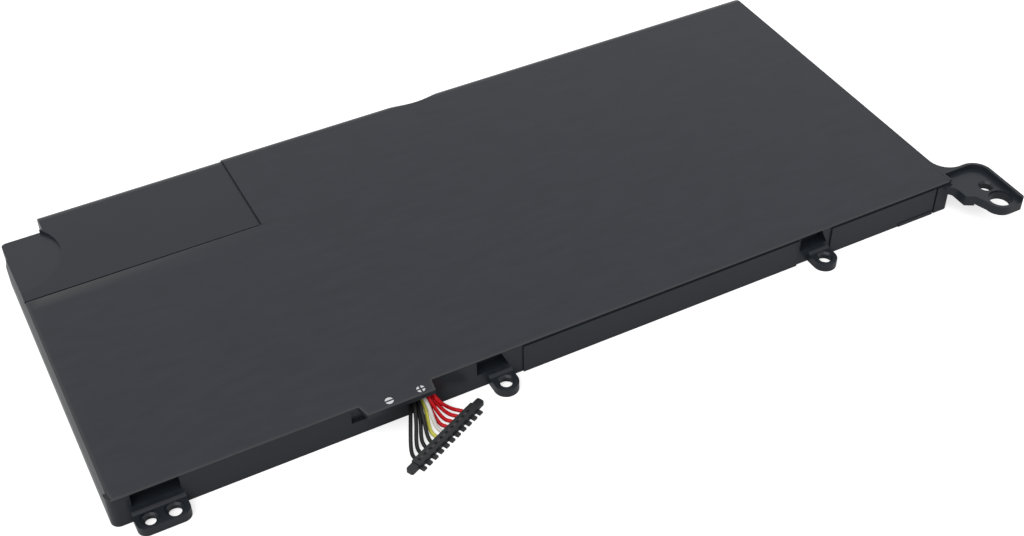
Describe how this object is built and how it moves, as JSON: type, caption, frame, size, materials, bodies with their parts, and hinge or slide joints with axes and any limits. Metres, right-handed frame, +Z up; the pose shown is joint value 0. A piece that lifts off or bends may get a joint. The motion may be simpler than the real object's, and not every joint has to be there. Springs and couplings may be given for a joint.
{
  "type": "laptop battery",
  "caption": "Flat black laptop battery: a moulded tray of pouch cells under a cover film, with screw lugs, end ears, and a short row of coloured wires to a comb-edged plug.",
  "frame": {"origin": "middle of the tray's flat underside, on the surface that the pack lies on", "axes": "+X along the pack towards the ear at its right end, +Y from the wired front edge to the rear edge, +Z up through the cover film"},
  "size_m": [0.2326, 0.1156, 0.009],
  "materials": {
    "tray_plastic": "fine matt moulding",
    "cover_film": "satin film",
    "pouch_foil": "satin laminate",
    "adhesive": "matt",
    "nickel": "satin nickel",
    "tab_aluminium": "satin",
    "amber_tape": "glossy",
    "board": "satin solder mask",
    "chip_black": "matt",
    "ceramic": "satin",
    "solder": "bright",
    "wire_black": "satin insulation",
    "wire_yellow": "satin insulation",
    "wire_white": "satin insulation",
    "wire_red": "satin insulation",
    "plug_plastic": "matt",
    "contact": "bright"
  },
  "bodies": {
    "root": {"tray": "tray_plastic", "top_film": "cover_film", "circuit_board": "board", "cell_left": "pouch_foil", "cell_left_tape": "adhesive", "cell_left_negative_tab": "nickel", "cell_left_positive_tab": "tab_aluminium", "cell_left_tab_tape": "amber_tape", "cell_middle": "pouch_foil", "cell_middle_tape": "adhesive", "cell_middle_negative_tab": "nickel", "cell_middle_positive_tab": "tab_aluminium", "cell_middle_tab_tape": "amber_tape", "cell_right": "pouch_foil", "cell_right_tape": "adhesive", "cell_right_negative_tab": "nickel", "cell_right_positive_tab": "tab_aluminium", "cell_right_tab_tape": "amber_tape", "weld_plate_negative": "nickel", "weld_plate_left_middle": "nickel", "weld_plate_middle_right": "nickel", "weld_plate_positive": "nickel", "charge_mosfet": "chip_black", "discharge_mosfet": "chip_black", "protection_chip": "chip_black", "gauge_chip": "chip_black", "cell_fuse": "ceramic", "sense_resistor": "chip_black", "thermistor": "ceramic", "board_capacitors": "ceramic", "board_resistors": "chip_black", "wire_solder_joints": "solder", "black_wire_1": "wire_black", "black_wire_2": "wire_black", "black_wire_3": "wire_black", "black_wire_4": "wire_black", "yellow_wire": "wire_yellow", "white_wire": "wire_white", "red_wire_1": "wire_red", "red_wire_2": "wire_red", "red_wire_3": "wire_red", "red_wire_4": "wire_red", "plug_housing": "plug_plastic", "plug_terminals": "contact"}
  },
  "joints": []
}
